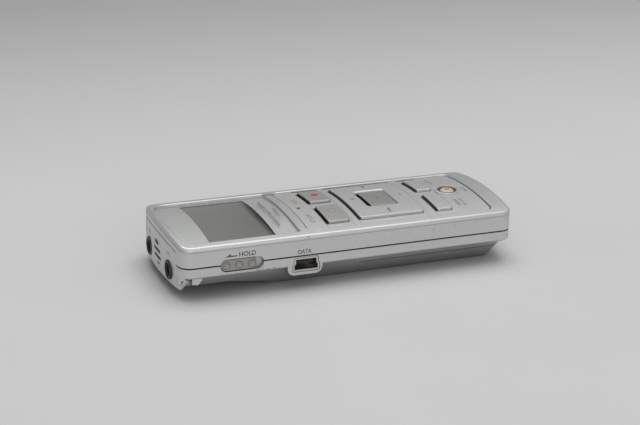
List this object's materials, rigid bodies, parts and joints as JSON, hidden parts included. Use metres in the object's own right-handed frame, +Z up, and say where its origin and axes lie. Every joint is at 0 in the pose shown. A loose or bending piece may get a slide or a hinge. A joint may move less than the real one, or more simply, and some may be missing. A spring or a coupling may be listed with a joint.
{
  "type": "handheld voice recorder",
  "caption": "Slim handheld voice recorder with a crowned keypad face, display window, jacks at one end, data socket, hold switch and a sliding battery door.",
  "frame": {"origin": "centre of the footprint, on the plane the recorder rests on", "axes": "+X along the body from the jack end to the foot, +Y across it, +Z up through the keypad face"},
  "size_m": [0.1024, 0.038, 0.0174],
  "materials": {
    "silver_case": "silver metallic paint",
    "silver_panel": "fine silver metallic paint",
    "silver_key": "satin silver",
    "grey_key": "satin nickel grey",
    "dark_key": "satin dark grey",
    "white_key": "glossy ivory",
    "knob_grey": "warm grey satin",
    "strap_metal": "silver paint",
    "clear_lens": "clear hard-coated",
    "silver_print": "printed silver",
    "lcd_glass": "reflective liquid crystal display, off",
    "white_plastic": "moulded",
    "flex_film": "polyimide film",
    "smoked_lamp": "smoked clear",
    "steel": "nickel plated",
    "green_board": "solder mask",
    "chip_black": "moulded",
    "black_plastic": "moulded satin",
    "contact_brass": "plated",
    "capsule_metal": "drawn can",
    "grey_rubber": "soft",
    "cone_film": "film",
    "magnet_iron": "plated",
    "cell_jacket": "printed jacket"
  },
  "bodies": {
    "case": {"front_case": "silver_case", "rear_case": "silver_case", "jack_end_cap": "silver_case", "mic_grille": "silver_case", "strap_bar": "strap_metal", "display_lens": "clear_lens", "keypad_panel": "silver_panel", "round_key_ring": "black_plastic", "mic_jack": "black_plastic", "ear_jack": "black_plastic", "data_socket_shell": "steel", "battery_cell_1": "cell_jacket", "battery_cell_2": "cell_jacket", "mic_capsule": "capsule_metal", "mic_boot": "grey_rubber", "jack_contacts": "contact_brass", "lens_mask": "silver_print", "lcd_panel": "lcd_glass", "lcd_frame": "white_plastic", "lcd_flex": "flex_film", "lamp_pipe": "smoked_lamp", "dome_switches": "steel", "dome_film": "flex_film", "main_board": "green_board", "signal_board": "green_board", "signal_chips": "chip_black", "board_connector": "chip_black", "data_socket_tongue": "black_plastic", "data_socket_pins": "contact_brass", "hold_guide": "silver_case", "hold_switch": "steel", "speaker_gasket": "grey_rubber", "speaker_frame": "black_plastic", "speaker_cone": "cone_film", "speaker_magnet": "magnet_iron", "battery_tray": "black_plastic", "battery_spring": "steel", "battery_contacts": "steel", "case_screws": "steel"},
    "record_key": {"record_key": "grey_key"},
    "stop_key": {"stop_key": "grey_key"},
    "folder_key": {"folder_key": "silver_key"},
    "menu_key": {"menu_key": "silver_key"},
    "centre_key": {"centre_key": "dark_key"},
    "round_key": {"round_key": "white_key"},
    "nav_carrier": {"nav_carrier": "grey_rubber"},
    "nav_plate": {"nav_plate": "silver_key"},
    "hold_slider": {"hold_slider": "knob_grey"},
    "battery_door": {"battery_door": "silver_case"}
  },
  "joints": [
    {"name": "record_key_press", "type": "slide", "parent": "case", "child": "record_key", "axis": [0, 0, -1], "range_m": [0, 0.0003], "stiffness_N_per_m": 1500, "springref_m": -0.0002},
    {"name": "stop_key_press", "type": "slide", "parent": "case", "child": "stop_key", "axis": [0, 0, -1], "range_m": [0, 0.0003], "stiffness_N_per_m": 1500, "springref_m": -0.0002},
    {"name": "folder_key_press", "type": "slide", "parent": "case", "child": "folder_key", "axis": [0, 0, -1], "range_m": [0, 0.0003], "stiffness_N_per_m": 1500, "springref_m": -0.0002},
    {"name": "menu_key_press", "type": "slide", "parent": "case", "child": "menu_key", "axis": [0, 0, -1], "range_m": [0, 0.0003], "stiffness_N_per_m": 1500, "springref_m": -0.0002},
    {"name": "centre_key_press", "type": "slide", "parent": "case", "child": "centre_key", "axis": [0, 0, -1], "range_m": [0, 0.0003], "stiffness_N_per_m": 1500, "springref_m": -0.0002},
    {"name": "round_key_press", "type": "slide", "parent": "case", "child": "round_key", "axis": [0, 0, -1], "range_m": [0, 0.0003], "stiffness_N_per_m": 1500, "springref_m": -0.0002},
    {"name": "nav_rock_lengthwise", "type": "hinge", "parent": "case", "child": "nav_carrier", "pos_m": [0.015, 0, 0.01367], "axis": [0, 1, 0], "range_deg": [-1.5, 1.5], "stiffness_Nm_per_rad": 0.5},
    {"name": "nav_rock_sideways", "type": "hinge", "parent": "nav_carrier", "child": "nav_plate", "pos_m": [0.015, 0, 0.01408], "axis": [1, 0, 0], "range_deg": [-1.2, 1.2], "stiffness_Nm_per_rad": 0.6},
    {"name": "hold_slide", "type": "slide", "parent": "case", "child": "hold_slider", "axis": [1, 0, 0], "range_m": [0, 0.0019]},
    {"name": "battery_door_slide", "type": "slide", "parent": "case", "child": "battery_door", "axis": [1, 0, 0], "range_m": [0, 0.05]}
  ]
}
